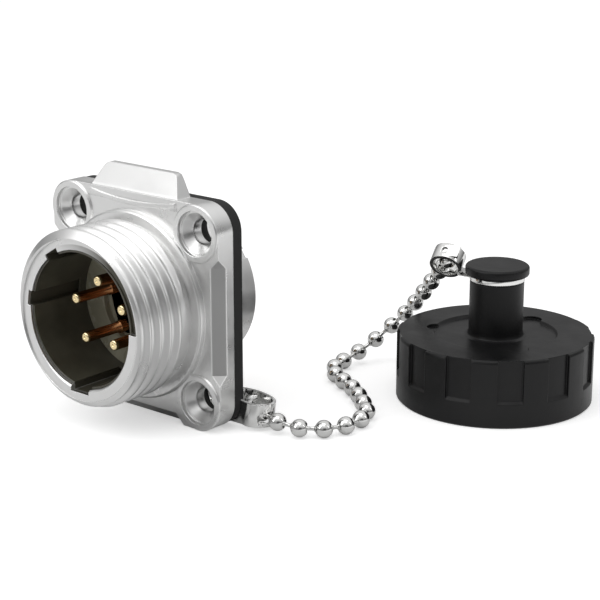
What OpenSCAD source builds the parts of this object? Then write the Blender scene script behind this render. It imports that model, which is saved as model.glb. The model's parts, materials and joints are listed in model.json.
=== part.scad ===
// Panel receptacle of a five-pole circular connector, with its dust cap on a bead chain.
// The mating axis runs along Y: the mouth looks to -Y and the panel seat is the plane y = 0.
// Z points up. The flange stands on its lower edge, and the chain and cap lie to the right.
// All sizes are in millimetres.

/* [Flange and shell] */
// Side of the square flange
flange_w = 25.4; // [23:0.1:30]
// Distance between neighbouring screw holes
hole_pitch = 19; // [18:0.1:20]
// Thickness of the flange at its corner pads
flange_t = 2.6; // [2.2:0.1:3.5]
// Diameter of the screw holes
screw_d = 2.8; // [2.2:0.1:3.2]
// Diameter of the countersinks
sink_d = 5; // [4:0.1:5.6]
// Length of the mouth barrel in front of the pads
barrel_len = 8.5; // [8:0.1:11]
// Inside diameter of the mouth
mouth_d = 15.4; // [14.8:0.1:15.8]
// Diameter of the collar at the foot of the barrel
collar_d = 21.4; // [20.6:0.1:22]
// Diameter of the rear barrel
rear_d = 17; // [16.6:0.1:17.6]
// Length of the rear barrel behind the panel seat
rear_len = 7.2; // [6:0.1:10]

/* [Coupling thread] */
// Outside diameter of the thread
thread_d = 19.9; // [19.6:0.1:20.1]
// Depth of the thread
thread_depth = 0.58; // [0.4:0.02:0.7]
// Pitch of the thread
thread_pitch = 1.5; // [1.4:0.05:1.6]

/* [Nameplate tab] */
// Height of the tab above the flange
tab_h = 2.5; // [1.5:0.1:5]
// Width of the tab at its top
tab_w = 11; // [8:0.1:13]

/* [Contacts and inserts] */
// Diameter of the contact pins
pin_d = 1.2; // [1:0.05:1.3]
// Diameter of the circle that the pins stand on
pin_circle = 7.54; // [7:0.02:8.4]
// Distance from the mouth to the pin tips
pin_set_back = 3; // [2:0.1:4]
// Thickness of the panel gasket
gasket_t = 1.5; // [1:0.1:2]

/* [Bead chain] */
// Diameter of one bead
bead_d = 2; // [1.9:0.02:2.1]
// Distance between neighbouring bead centres
bead_pitch = 2.65; // [2.6:0.01:2.8]
// Diameter of the link rods
rod_d = 0.44; // [0.34:0.02:0.46]
// Thickness of the lug strip
strip_t = 0.4; // [0.3:0.05:0.45]

/* [Dust cap] */
// Outside diameter of the cap
cap_d = 22.6; // [22.2:0.1:24]
// Height of the cap without its knob
cap_h = 7.8; // [7.4:0.1:9]
// Depth of the grip flutes
flute_depth = 0.34; // [0.15:0.01:0.45]
// Diameter of the knob post
post_d = 6.2; // [5.8:0.1:7]
// Height of the knob above the cap
knob_h = 8; // [7:0.1:9]
// Diameter of the knob head
head_d = 7.3; // [6.9:0.1:8]

/* [Which piece to draw] */
// One node name, or all

/* [Hidden] */
$fn = 96;

// Distances d run forward from the panel seat, so d = -y.
half_w = flange_w / 2;
hole_off = hole_pitch / 2;
corner_r = half_w - hole_off;
pad_d = gasket_t + flange_t;
valley_d = pad_d - 0.25;
mouth_front = pad_d + barrel_len;
mouth_r = mouth_d / 2;
ground_z = -half_w;

// Radii and stations of the barrel.
crest_r = thread_d / 2;
root_r = crest_r - thread_depth;
face_r = crest_r - 0.93;
web_front = pad_d - 1.1;
web_back = web_front - 1;
web_r = mouth_r - 1.1;
rear_bore_r = rear_d / 2 - 1.2;
keyway_r = root_r - 1.2;

// Keyways: angle seen from the front, and width.
keyways = [[172, 1.7], [122, 2], [-90, 2.8]];
keyway_end = web_front + 1.2;

// Contacts.
pin_r = pin_d / 2;
pin_tip = mouth_front - pin_set_back;
shoulder_r = pin_r + 0.35;
cup_r = pin_r + 0.3;
insert_face = web_front + 1.2;
rear_insert_len = rear_len * 25 / 36;
rear_insert_end = web_back - rear_insert_len;
cup_end = -rear_len - 1.4;
nut_h = rear_len / 3;

// Round seal of the rear insulator: its place, and half the width of its groove.
seal_at = web_back - 0.7 * rear_insert_len;
seal_groove = 0.1 * rear_insert_len;

// Chain lug: a strip that leaves the lower right screw hole and folds into a loop.
lug_top = -hole_off - 0.05;
lug_low = lug_top - 2.7;
loop_gap_r = bead_d / 2 + 0.15;
loop_x = half_w + 1.6;
loop_y = loop_gap_r;

// Bead chain: one heading and one share of the climb for each link.
// The first links drop to the ground, the middle ones lie on it, the last ones climb to the cap.
headings = [
    -8.5, 14.6, 39.4, 64.3, 89.3, 114.4, 136, 139, 144, 151, 150,
    130, 105.3, 82.8, 62.9, 36.2, 6, -16, -24, -27, -27, -27
];
drops = [0.49, 0.38, 0.13];
climbs = [0.22, 0.5, 0.68, 0.705, 0.69, 0.68, 0.68, 0.675, 0.67];
links = len(headings);
climb_from = links - len(climbs);
chain_start = [loop_x, loop_y, (lug_top + lug_low) / 2 - 0.02];
bead_r = bead_d / 2;
bead_wall = 0.09;
bead_hole_r = 0.48;
knob_r = 0.52;
pivot_off = bead_r - bead_wall - 0.05 - knob_r;

// Dust cap: it stands on its rim at the end of the chain.
cap_r = cap_d / 2;
cap_bore_r = crest_r + 0.25;
cap_ceiling = cap_h - 1.3;
seal_t = 0.7;
neck_r = post_d / 2 - 0.5;
stem_len = 0.375 * knob_h;
ring_rise = knob_h - 1.5;
loop_out = 6;
loop_heading = 195;
ring_z = ground_z + cap_h + ring_rise;
climb_total = ring_z + 1.3 - (ground_z + bead_r);
drop_total = chain_start[2] - (ground_z + bead_r);

function sum_to(v, n) = n < 0 ? 0 : v[n] + sum_to(v, n - 1);

// Height gained by link k, and its slope.
function link_rise(k) =
    k < len(drops) ? -drop_total * drops[k] / sum_to(drops, len(drops) - 1)
    : k < climb_from ? 0
    : climb_total * climbs[k - climb_from] / sum_to(climbs, len(climbs) - 1);
function link_slope(k) = asin(link_rise(k) / bead_pitch);
function link_way(k) = [
    cos(link_slope(k)) * cos(headings[k]),
    cos(link_slope(k)) * sin(headings[k]),
    sin(link_slope(k))
];
function bead_at(k) = k == 0 ? chain_start : bead_at(k - 1) + bead_pitch * link_way(k - 1);

chain_end = bead_at(links);
cap_x = chain_end[0] - loop_out * cos(loop_heading);
cap_y = chain_end[1] - loop_out * sin(loop_heading);

// Turns local Z to the mating direction: local (x, y, d) becomes (x, -d, y).
module on_axis() {
    rotate([90, 0, 0]) children();
}

// Turns local Z along link k.
module along_link(k) {
    rotate([0, 90 - link_slope(k), headings[k]]) children();
}

module at_corners() {
    for (sx = [-1, 1], sy = [-1, 1])
        translate([sx * hole_off, sy * hole_off, 0]) children();
}

// A rod with a right-hand thread of rounded crests, wound on a grid that follows the helix.
// Each turn has six rows: the crest, two flanks each side and the valley. The crests
// rise from nothing over the first part of the run, from the angle a_start on.
module threaded_rod(low_r, high_r, z_crest, z_low, z_high, a_start) {
    cols = 48;
    rows_in_turn = 6;
    shape = [1, 0.76, 0.25, 0, 0.25, 0.76];
    dz = thread_pitch / rows_in_turn;
    j0 = floor((z_low - z_crest) / dz);
    j1 = ceil((z_high - z_crest) / dz);
    n = j1 - j0 + 1;
    function turn_angle(i, j) = 360 * (floor((j + 3) / rows_in_turn) + i / cols);
    function rise(i, j) = shape[(j % rows_in_turn + rows_in_turn) % rows_in_turn]
        * max(0, min(1, (turn_angle(i, j) - a_start) / 55));
    function at(i, j) = let (r = low_r + (high_r - low_r) * rise(i, j), a = 360 * i / cols)
        [r * cos(a), r * sin(a), z_crest + dz * (j + rows_in_turn * i / cols)];
    function id(i, j) = i < cols ? i * n + j : j + rows_in_turn;
    low_ring = concat([for (i = [0 : cols - 1]) id(i, 0)], [for (j = [rows_in_turn : -1 : 1]) id(0, j)]);
    high_ring = concat(
        [for (i = [0 : cols - 1]) id(i, n - 1 - rows_in_turn)],
        [for (j = [n - 1 : -1 : n - rows_in_turn]) id(0, j)]
    );
    polyhedron(
        points = concat(
            [for (i = [0 : cols - 1]) for (j = [j0 : j1]) at(i, j)],
            [[0, 0, z_crest + dz * (j0 + rows_in_turn / 2)], [0, 0, z_crest + dz * (j1 - rows_in_turn / 2)]]
        ),
        faces = concat(
            [for (i = [0 : cols - 1]) for (j = [0 : n - 2 - rows_in_turn]) each [
                [id(i, j), id(i, j + 1), id(i + 1, j)],
                [id(i + 1, j), id(i, j + 1), id(i + 1, j + 1)]
            ]],
            [for (q = [0 : len(low_ring) - 1])
                [cols * n, low_ring[q], low_ring[(q + 1) % len(low_ring)]]],
            [for (q = [0 : len(high_ring) - 1])
                [cols * n + 1, high_ring[(q + 1) % len(high_ring)], high_ring[q]]]
        )
    );
}

// Threaded barrel, cut to the lead cone and the flat mouth face.
module threaded_barrel() {
    over = crest_r + 0.2;
    intersection() {
        threaded_rod(root_r, crest_r, pad_d + 2.725, gasket_t + 0.4, mouth_front + 0.4, -355);
        rotate_extrude()
            polygon([
                [0, gasket_t + 0.3], [over, gasket_t + 0.3], [over, mouth_front - (over - face_r) * 0.8],
                [face_r, mouth_front], [0, mouth_front]
            ]);
    }
}

// Solid of turning for the rear barrel and the collar, with a relief where the gasket sits.
module barrel_blank() {
    rotate_extrude()
        polygon([
            [0, -rear_len], [rear_d / 2 - 0.35, -rear_len], [rear_d / 2, -rear_len + 0.35],
            [rear_d / 2, -0.4], [rear_d / 2 - 0.2, -0.4], [rear_d / 2 - 0.2, gasket_t + 0.5],
            [collar_d / 2, gasket_t + 0.5], [collar_d / 2, pad_d + 0.38],
            [collar_d / 2 - 0.2, pad_d + 0.55], [0, pad_d + 0.55]
        ]);
}

module bores() {
    rotate_extrude()
        polygon([
            [0, -rear_len - 1], [rear_bore_r, -rear_len - 1], [rear_bore_r, web_back], [web_r, web_back],
            [web_r, web_front], [mouth_r, web_front], [mouth_r, mouth_front - 0.2],
            [mouth_r + 0.2, mouth_front], [mouth_r + 0.2, mouth_front + 1], [0, mouth_front + 1]
        ]);
}

module square_plate(w, r, t) {
    translate([-w / 2 + r, -w / 2, 0]) cube([w - 2 * r, w, t]);
    translate([-w / 2, -w / 2 + r, 0]) cube([w, w - 2 * r, t]);
    for (sx = [-1, 1], sy = [-1, 1])
        translate([sx * (w / 2 - r), sy * (w / 2 - r), 0]) cylinder(r = r, h = t);
}

// Counterbore, cone and clearance hole of one screw.
module screw_hole() {
    cone_d = sink_d - 0.5;
    cone_top = pad_d - 0.5;
    cone_low = cone_top - (cone_d - screw_d) / 2;
    translate([0, 0, gasket_t - 1]) cylinder(d = screw_d, h = flange_t + 2);
    translate([0, 0, cone_low]) cylinder(d1 = screw_d, d2 = cone_d, h = cone_top - cone_low);
    translate([0, 0, cone_top]) cylinder(d = sink_d, h = 2);
}

// One 45 degree relief on the middle of a flange edge, running out to a point at both ends.
module edge_relief(len_y, c) {
    x = half_w;
    z = valley_d;
    y = len_y / 2;
    polyhedron(
        points = [
            [x - c, -y, z], [x - c, y, z], [x, -y, z - c], [x, y, z - c],
            [x + 0.6, -y, z + 0.6], [x + 0.6, y, z + 0.6],
            [x + 0.02, -y - c, z + 0.02], [x + 0.02, y + c, z + 0.02]
        ],
        faces = [
            [2, 3, 1, 0], [1, 5, 4, 0], [4, 5, 3, 2],
            [2, 0, 6], [0, 4, 6], [4, 2, 6], [1, 3, 7], [5, 1, 7], [3, 5, 7]
        ]
    );
}

// Sloped nameplate on the upper edge, left bare, with an arched lip along its foot.
module nameplate() {
    top = half_w + tab_h;
    foot = half_w - 1.2;
    wide = tab_w / 2 + 1.35;
    intersection() {
        translate([-wide, 0, 0])
            rotate([90, 0, 90])
                linear_extrude(2 * wide)
                    polygon([
                        [foot, gasket_t], [top, gasket_t], [top, gasket_t + 0.75],
                        [half_w - 0.3, valley_d - 0.1], [foot, valley_d + 0.1]
                    ]);
        linear_extrude(pad_d + 1)
            polygon([
                [-wide, foot], [wide, foot], [wide - 0.25, half_w], [tab_w / 2 + 0.1, top - 0.55],
                [tab_w / 2 - 0.15, top - 0.18], [tab_w / 2 - 0.6, top], [0.6 - tab_w / 2, top],
                [0.15 - tab_w / 2, top - 0.18], [-tab_w / 2 - 0.1, top - 0.55], [0.25 - wide, half_w]
            ]);
    }
    intersection() {
        translate([0, foot + 36.1, gasket_t + 0.5])
            difference() {
                cylinder(r = 36.3, h = valley_d - gasket_t - 0.32);
                translate([0, 0, -1]) cylinder(r = 35.85, h = 10);
            }
        translate([-wide + 0.3, foot - 1, 0]) cube([2 * wide - 0.6, 3, pad_d + 1]);
    }
}

module keyway_cuts(r_in, r_out, d0, d1) {
    for (k = keyways)
        rotate([0, 0, k[0]])
            translate([r_in, -k[1] / 2, d0]) cube([r_out - r_in, k[1], d1 - d0]);
}

module shell() {
    color([0.8, 0.8, 0.79])
        on_axis()
            difference() {
                union() {
                    barrel_blank();
                    translate([0, 0, gasket_t]) square_plate(flange_w, corner_r, valley_d - gasket_t);
                    at_corners() {
                        translate([0, 0, gasket_t]) cylinder(r = corner_r, h = flange_t - 0.12);
                        translate([0, 0, pad_d - 0.12]) cylinder(r1 = corner_r, r2 = corner_r - 0.12, h = 0.12);
                    }
                    nameplate();
                    threaded_barrel();
                }
                bores();
                at_corners() screw_hole();
                for (a = [0, -90, 180])
                    rotate([0, 0, a]) edge_relief(12, 1.2);
                keyway_cuts(mouth_r - 1, keyway_r, keyway_end, mouth_front + 1);
                for (a = [35, 215])
                    rotate([0, 0, a])
                        translate([rear_d / 2 - 0.6, -0.6, -rear_len - 1]) cube([2, 1.2, 2.6]);
            }
}

// Soft gasket behind the flange, with a shallow seat for the lug strip.
module panel_gasket() {
    color([0.05, 0.05, 0.05])
        on_axis()
            difference() {
                square_plate(flange_w - 0.16, corner_r - 0.08, gasket_t);
                translate([0, 0, -1]) cylinder(r = rear_d / 2 + 0.1, h = gasket_t + 2);
                at_corners() translate([0, 0, -1]) cylinder(r = screw_d / 2 + 0.5, h = gasket_t + 2);
                translate([hole_off, -hole_off, -1]) cylinder(r = 2.75, h = 1 + strip_t);
                translate([hole_off, lug_low - 0.15, -1]) cube([6, lug_top - lug_low + 0.3, 1 + strip_t]);
            }
}

// Dark sleeve inside the mouth.
module mouth_liner() {
    color([0.07, 0.07, 0.06])
        on_axis()
            difference() {
                translate([0, 0, insert_face])
                    difference() {
                        cylinder(r = mouth_r - 0.04, h = mouth_front - 0.6 - insert_face);
                        translate([0, 0, -1]) cylinder(r = mouth_r - 0.25, h = 20);
                    }
                keyway_cuts(mouth_r - 1, keyway_r, insert_face + 1, mouth_front + 1);
            }
}

module at_pins() {
    for (k = [0 : 4])
        rotate([0, 0, 90 + 72 * k]) translate([pin_circle / 2, 0, 0]) children();
}

// Front insulator, dished towards its middle in two steps.
module insert_front() {
    step_r = mouth_r - 3.1;
    dish_r = step_r - 0.7;
    color([0.3, 0.3, 0.25])
        on_axis()
            difference() {
                rotate_extrude()
                    polygon([
                        [0, web_back], [web_r - 0.05, web_back], [web_r - 0.05, web_front],
                        [mouth_r - 0.04, web_front], [mouth_r - 0.04, insert_face], [step_r, insert_face],
                        [step_r, insert_face - 0.8], [dish_r, insert_face - 0.8],
                        [dish_r, insert_face - 1.6], [0, insert_face - 1.6]
                    ]);
                at_pins() translate([0, 0, web_back - 1]) cylinder(r = pin_r + 0.12, h = 20);
            }
}

// Rear insulator that locks the pin shoulders against the front one.
module insert_rear() {
    color([0.12, 0.12, 0.11])
        on_axis()
            difference() {
                rotate_extrude()
                    polygon([
                        [0, rear_insert_end], [rear_bore_r - 0.05, rear_insert_end],
                        [rear_bore_r - 0.05, seal_at - seal_groove], [rear_bore_r - 0.9, seal_at - seal_groove],
                        [rear_bore_r - 0.9, seal_at + seal_groove], [rear_bore_r - 0.05, seal_at + seal_groove],
                        [rear_bore_r - 0.05, web_back], [0, web_back]
                    ]);
                at_pins() {
                    translate([0, 0, rear_insert_end - 1]) cylinder(r = pin_r + 0.02, h = 20);
                    translate([0, 0, web_back - 1.12]) cylinder(r = shoulder_r + 0.02, h = 3);
                }
            }
}

// Round seal in the groove of the rear insulator.
module insert_seal() {
    color([0.25, 0.1, 0.05])
        on_axis()
            translate([0, 0, seal_at])
                rotate_extrude()
                    translate([rear_bore_r - 0.46, 0]) circle(r = 0.42);
}

// Ring nut that holds the insulators from behind.
module rear_nut() {
    color([0.75, 0.62, 0.3])
        on_axis()
            translate([0, 0, rear_insert_end - nut_h])
                difference() {
                    cylinder(r = rear_bore_r - 0.05, h = nut_h - 0.02);
                    translate([0, 0, -1]) cylinder(r = rear_bore_r - 1.8, h = nut_h + 2);
                    for (a = [0, 90])
                        rotate([0, 0, a]) translate([-10, -0.6, -1]) cube([20, 1.2, 1.8]);
                }
}

// One turned contact: domed tip with a centre mark, a thicker root in the insulator, a
// locking shoulder and a solder cup.
module contact_pin(k) {
    color([0.9, 0.72, 0.35])
        on_axis()
            rotate([0, 0, 90 + 72 * (k - 1)])
                translate([pin_circle / 2, 0, 0])
                    difference() {
                        union() {
                            translate([0, 0, pin_tip - pin_r]) sphere(r = pin_r);
                            translate([0, 0, web_back])
                                cylinder(r = pin_r + 0.1, h = insert_face + 0.2 - web_back);
                            translate([0, 0, rear_insert_end - 0.6])
                                cylinder(r = pin_r, h = pin_tip - pin_r - rear_insert_end + 0.6);
                            translate([0, 0, web_back - 1.1]) cylinder(r = shoulder_r, h = 1.08);
                            translate([0, 0, cup_end])
                                cylinder(r = cup_r, h = rear_insert_end - 0.02 - cup_end);
                        }
                        translate([0, 0, pin_tip - 0.12]) cylinder(r1 = 0, r2 = 0.22, h = 0.2);
                        translate([0, 0, cup_end - 1]) cylinder(r = cup_r - 0.25, h = 3.6);
                        translate([0, -2, cup_end - 1]) cube([3, 4, 2.6]);
                    }
}

// Strip with an eye under the flange corner. Past the flange it folds into a loop round the
// first bead, and the fold has the hole that the first link leaves through.
module chain_lug() {
    eye_r = 2.6;
    hole_z = chain_start[2] - 0.2;
    neck = 0.85;
    color([0.78, 0.78, 0.77])
        difference() {
            union() {
                translate([hole_off, 0, -hole_off]) rotate([90, 0, 0]) cylinder(r = eye_r, h = strip_t - 0.04);
                translate([hole_off, -strip_t + 0.04, lug_low])
                    cube([loop_x - hole_off + 0.03, strip_t - 0.04, lug_top - lug_low]);
                translate([loop_x, loop_y, lug_low])
                    rotate([0, 0, -90])
                        rotate_extrude(angle = 125)
                            translate([loop_gap_r, 0]) square([strip_t - 0.04, lug_top - lug_low]);
                translate([loop_x, loop_y, lug_top - neck])
                    rotate([0, 0, 20])
                        rotate_extrude(angle = 70)
                            translate([loop_gap_r, 0]) square([strip_t - 0.04, neck]);
                translate([half_w - 0.4, loop_y + loop_gap_r, lug_top - neck])
                    cube([loop_x - half_w + 0.43, strip_t - 0.04, neck]);
                translate([half_w - 0.4, 0.5, lug_top - neck])
                    cube([strip_t, loop_y + loop_gap_r - 0.4, neck]);
            }
            translate([hole_off, 2, -hole_off]) rotate([90, 0, 0]) cylinder(r = screw_d / 2 + 0.4, h = 4);
            translate([loop_x, loop_y, hole_z])
                rotate([0, 90, headings[0]]) cylinder(r = bead_r - 0.28, h = 4);
        }
}

// Bead k of the chain: a hollow ball on the end of its own link. The knob at the other
// end of the link is caught inside the ball before it, and the next link leaves through
// the hole. The balls are turned so that their seams lie beside the links.
module bead(k) {
    across = [0, 0, headings[min(k, links - 1)] + 90];
    color([0.82, 0.82, 0.81])
        difference() {
            union() {
                translate(bead_at(k)) rotate(across) sphere(r = bead_r);
                if (k > 0)
                    translate(bead_at(k - 1) + pivot_off * link_way(k - 1)) {
                        rotate([0, 0, headings[k - 1] + 90]) sphere(r = knob_r);
                        along_link(k - 1)
                            cylinder(d = rod_d, h = bead_pitch - pivot_off - bead_r + bead_wall / 2);
                    }
            }
            translate(bead_at(k)) rotate(across) sphere(r = bead_r - bead_wall);
            translate(bead_at(k)) along_link(min(k, links - 1)) cylinder(r = bead_hole_r, h = bead_r + 1);
        }
}

module at_cap() {
    translate([cap_x, cap_y, ground_z]) children();
}

// Swivelling coupling: a flat ring round the knob's neck, and a strip loop that traps the
// last bead. A flat strap joins them, and the end of the strip stands off the loop's top.
module cap_coupling() {
    way = link_way(links - 1);
    out = [cos(loop_heading), sin(loop_heading), 0];
    side = cross(out, -way);
    axis = side / norm(side);
    flat = norm([axis[0], axis[1]]);
    turn_z = atan2(axis[1], axis[0]);
    tilt = atan2(flat, axis[2]);
    inner = bead_r + 0.5;
    outer = inner + strip_t;
    wide = 2;
    color([0.82, 0.82, 0.81]) {
        difference() {
            union() {
                translate([cap_x, cap_y, ring_z - 0.25]) {
                    cylinder(r = neck_r + 0.55, h = 0.5);
                    rotate([0, 0, loop_heading])
                        linear_extrude(0.5)
                            polygon([
                                [neck_r + 0.1, -0.85], [neck_r + 0.1, 0.85], [loop_out - 1.4, 0.4],
                                [loop_out - 0.4, -1.2], [loop_out - 0.9, -1.45], [loop_out - 1.7, -1.3]
                            ]);
                }
                translate(chain_end)
                    rotate([0, tilt, turn_z]) {
                        cylinder(r = outer, h = wide, center = true);
                        rotate([0, 0, 180])
                            translate([inner + 0.02, -1.7, -0.8]) cube([strip_t - 0.05, 2, 1.6]);
                    }
            }
            translate([cap_x, cap_y, ring_z - 2]) cylinder(r = neck_r + 0.07, h = 4);
            translate(chain_end)
                rotate([0, tilt, turn_z]) cylinder(r = inner, h = wide + 2, center = true);
            translate(chain_end)
                rotate([0, 0, headings[links - 1]])
                    rotate([0, -90 - link_slope(links - 1), 0]) cylinder(r = bead_r - 0.18, h = 4);
            translate(chain_end)
                rotate([0, tilt, turn_z]) rotate([0, -90, 0]) cylinder(r = 0.4, h = 3);
        }
    }
}

// Screw cap with grip flutes, a shallow ring on its top and the knob post.
module cap_body() {
    flute_from = 0.4 * cap_h;
    color([0.06, 0.06, 0.06])
        at_cap()
            difference() {
                rotate_extrude()
                    polygon([
                        [0, 0], [cap_r - 0.2, 0], [cap_r, 0.2],
                        [cap_r, cap_h - 0.35], [cap_r - 0.1, cap_h - 0.1], [cap_r - 0.35, cap_h],
                        [7.1, cap_h], [6.9, cap_h - 0.35], [post_d / 2 + 0.5, cap_h - 0.35],
                        [post_d / 2 + 0.12, cap_h - 0.2], [post_d / 2, cap_h + 0.3],
                        [post_d / 2, cap_h + ring_rise - 0.35], [neck_r, cap_h + ring_rise - 0.35],
                        [neck_r, cap_h + ring_rise + 0.33], [0, cap_h + ring_rise + 0.33]
                    ]);
                threaded_bore();
                for (k = [0 : 11])
                    rotate([0, 0, 30 * k + 5])
                        rotate_extrude(angle = 15)
                            polygon([
                                [cap_r - flute_depth, flute_from], [cap_r + 1, flute_from - 1.2],
                                [cap_r + 1, cap_h + 1], [cap_r - flute_depth, cap_h + 1]
                            ]);
                for (a = [85, 205, 325])
                    rotate([0, 0, a])
                        translate([6.8, 0, cap_h - 0.35]) cylinder(r = 1.2, h = 2);
                translate([0, 0, cap_h + ring_rise - stem_len]) cylinder(r = 1.62, h = stem_len + 2);
            }
}

// Threaded bore of the cap, to cut away: the same thread with clearance, a lead cone at
// the rim and a plain relief where the seal sits.
module threaded_bore() {
    intersection() {
        threaded_rod(root_r + 0.17, cap_bore_r, 0.9, -2, cap_ceiling, -2000);
        translate([0, 0, -0.5]) cylinder(r = cap_bore_r + 1, h = cap_ceiling - seal_t + 0.1);
    }
    translate([0, 0, cap_ceiling - seal_t - 0.6]) cylinder(r = cap_bore_r + 0.02, h = seal_t + 0.6);
    translate([0, 0, -0.5]) cylinder(r1 = cap_bore_r + 0.8, r2 = cap_bore_r - 0.4, h = 1.2);
}

// Head of the knob, with its stem pushed into the post.
module cap_head() {
    base = cap_h + ring_rise + 0.34;
    top = cap_h + knob_h;
    color([0.07, 0.07, 0.07])
        at_cap()
            rotate_extrude()
                polygon([
                    [0, base - stem_len], [1.6, base - stem_len], [1.6, base], [head_d / 2 - 0.15, base],
                    [head_d / 2, base + 0.15], [head_d / 2, top - 0.2], [head_d / 2 - 0.25, top],
                    [head_d / 2 - 0.9, top - 0.05], [1.2, top - 0.2], [0, top - 0.22]
                ]);
}

// Flat seal under the ceiling of the cap.
module cap_seal() {
    color([0.1, 0.1, 0.1])
        at_cap()
            translate([0, 0, cap_ceiling - seal_t])
                difference() {
                    cylinder(r = cap_bore_r - 0.08, h = seal_t);
                    translate([0, 0, -1]) cylinder(r = mouth_r - 0.5, h = 3);
                }
}

shell();
panel_gasket();
mouth_liner();
insert_front();
insert_rear();
insert_seal();
rear_nut();
contact_pin(1);  // contact_pin_1
contact_pin(2);  // contact_pin_2
contact_pin(3);  // contact_pin_3
contact_pin(4);  // contact_pin_4
contact_pin(5);  // contact_pin_5
chain_lug();
bead(0);  // bead_01
bead(1);  // bead_02
bead(2);  // bead_03
bead(3);  // bead_04
bead(4);  // bead_05
bead(5);  // bead_06
bead(6);  // bead_07
bead(7);  // bead_08
bead(8);  // bead_09
bead(9);  // bead_10
bead(10);  // bead_11
bead(11);  // bead_12
bead(12);  // bead_13
bead(13);  // bead_14
bead(14);  // bead_15
bead(15);  // bead_16
bead(16);  // bead_17
bead(17);  // bead_18
bead(18);  // bead_19
bead(19);  // bead_20
bead(20);  // bead_21
bead(21);  // bead_22
bead(22);  // bead_23
cap_coupling();
cap_body();
cap_head();
cap_seal();
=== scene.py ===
import json
import math

import bmesh
import bpy
import numpy as np
from mathutils import Matrix, Vector


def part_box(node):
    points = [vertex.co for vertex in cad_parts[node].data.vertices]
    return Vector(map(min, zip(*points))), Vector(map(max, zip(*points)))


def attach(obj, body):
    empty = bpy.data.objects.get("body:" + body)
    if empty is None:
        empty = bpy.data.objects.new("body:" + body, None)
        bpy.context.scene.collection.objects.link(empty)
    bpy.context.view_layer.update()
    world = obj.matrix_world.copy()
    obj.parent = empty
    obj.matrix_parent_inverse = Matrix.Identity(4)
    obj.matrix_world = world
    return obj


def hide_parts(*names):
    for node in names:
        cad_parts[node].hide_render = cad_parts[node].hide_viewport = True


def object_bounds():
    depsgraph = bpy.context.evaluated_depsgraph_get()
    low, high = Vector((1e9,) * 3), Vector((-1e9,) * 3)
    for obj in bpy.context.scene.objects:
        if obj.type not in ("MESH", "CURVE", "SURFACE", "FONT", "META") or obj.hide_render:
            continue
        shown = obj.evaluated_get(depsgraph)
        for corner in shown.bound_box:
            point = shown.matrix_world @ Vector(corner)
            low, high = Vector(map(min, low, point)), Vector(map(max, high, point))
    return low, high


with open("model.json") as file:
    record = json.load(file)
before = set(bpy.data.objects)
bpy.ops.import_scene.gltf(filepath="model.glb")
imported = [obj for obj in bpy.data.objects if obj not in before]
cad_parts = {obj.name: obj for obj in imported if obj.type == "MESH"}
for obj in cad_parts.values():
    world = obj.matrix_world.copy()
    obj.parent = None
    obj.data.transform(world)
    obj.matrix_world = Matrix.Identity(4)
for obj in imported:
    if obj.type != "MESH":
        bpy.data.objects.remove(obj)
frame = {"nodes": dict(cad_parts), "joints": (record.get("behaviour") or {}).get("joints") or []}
cad_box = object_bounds()
scene = bpy.context.scene
mm = 0.001


# ---- Shell ------------------------------------------------------------------------------
# Zinc die casting with a satin nickel plate: square flange, nameplate tab, collar and rear
# barrel in one piece. The mouth is bored and the round-crested thread rolled after casting.

def add(tree, kind, inputs=None, **settings):
    """One node of a tree; an input is given a value, or a socket that is linked to it."""
    node = tree.nodes.new(kind)
    for key, value in settings.items():
        setattr(node, key, value)
    for key, value in (inputs or {}).items():
        if isinstance(value, bpy.types.NodeSocket):
            tree.links.new(value, node.inputs[key])
        else:
            node.inputs[key].default_value = value
    return node


def calc(tree, operation, a, b=0.0, c=0.0, clamp=False):
    return add(tree, "ShaderNodeMath", {0: a, 1: b, 2: c}, operation=operation, use_clamp=clamp).outputs[0]


def product(tree, *factors):
    """The factors multiplied one after the other."""
    result = factors[0]
    for factor in factors[1:]:
        result = calc(tree, "MULTIPLY", result, factor)
    return result


def between(tree, share, first, second):
    """The first number where the share is 0, the second where it is 1."""
    return calc(tree, "MULTIPLY_ADD", share, calc(tree, "SUBTRACT", second, first), first)


def parts(tree, vector):
    """The x, y and z of a vector."""
    return add(tree, "ShaderNodeSeparateXYZ", {0: vector}).outputs


def along_way(tree, vector, way):
    """How far a vector goes along a way: their dot product."""
    return add(tree, "ShaderNodeVectorMath", {0: vector, 1: way}, operation="DOT_PRODUCT").outputs["Value"]


def on_circle(tree, radius, angle):
    """The two places of a spot on a circle, at an angle in radians."""
    return (product(tree, radius, calc(tree, "COSINE", angle)),
            product(tree, radius, calc(tree, "SINE", angle)))


def ramp(tree, value, low, high, to_low=0.0, to_high=1.0, soft=False):
    """The value from low to high, turned into a value from to_low to to_high."""
    kind = "SMOOTHSTEP" if soft else "LINEAR"
    return add(tree, "ShaderNodeMapRange", {0: value, 1: low, 2: high, 3: to_low, 4: to_high},
               interpolation_type=kind).outputs[0]


def blend_colours(tree, share, first, second):
    return add(tree, "ShaderNodeMix", {0: share, 6: first, 7: second}, data_type="RGBA").outputs[2]


def scaled(tint, factor):
    return (*[min(1.0, channel * factor) for channel in tint], 1.0)


def new_finish(name):
    """A material with its node tree, its shader and the object coordinates."""
    finish = bpy.data.materials.new(name)
    finish.use_nodes = True
    tree = finish.node_tree
    place = add(tree, "ShaderNodeTexCoord").outputs["Object"]
    return finish, tree, tree.nodes["Principled BSDF"], place


def noise(tree, place, scale, detail=3.0, roughness=0.5):
    return add(tree, "ShaderNodeTexNoise",
               {"Vector": place, "Scale": scale, "Detail": detail, "Roughness": roughness}).outputs[0]


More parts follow.
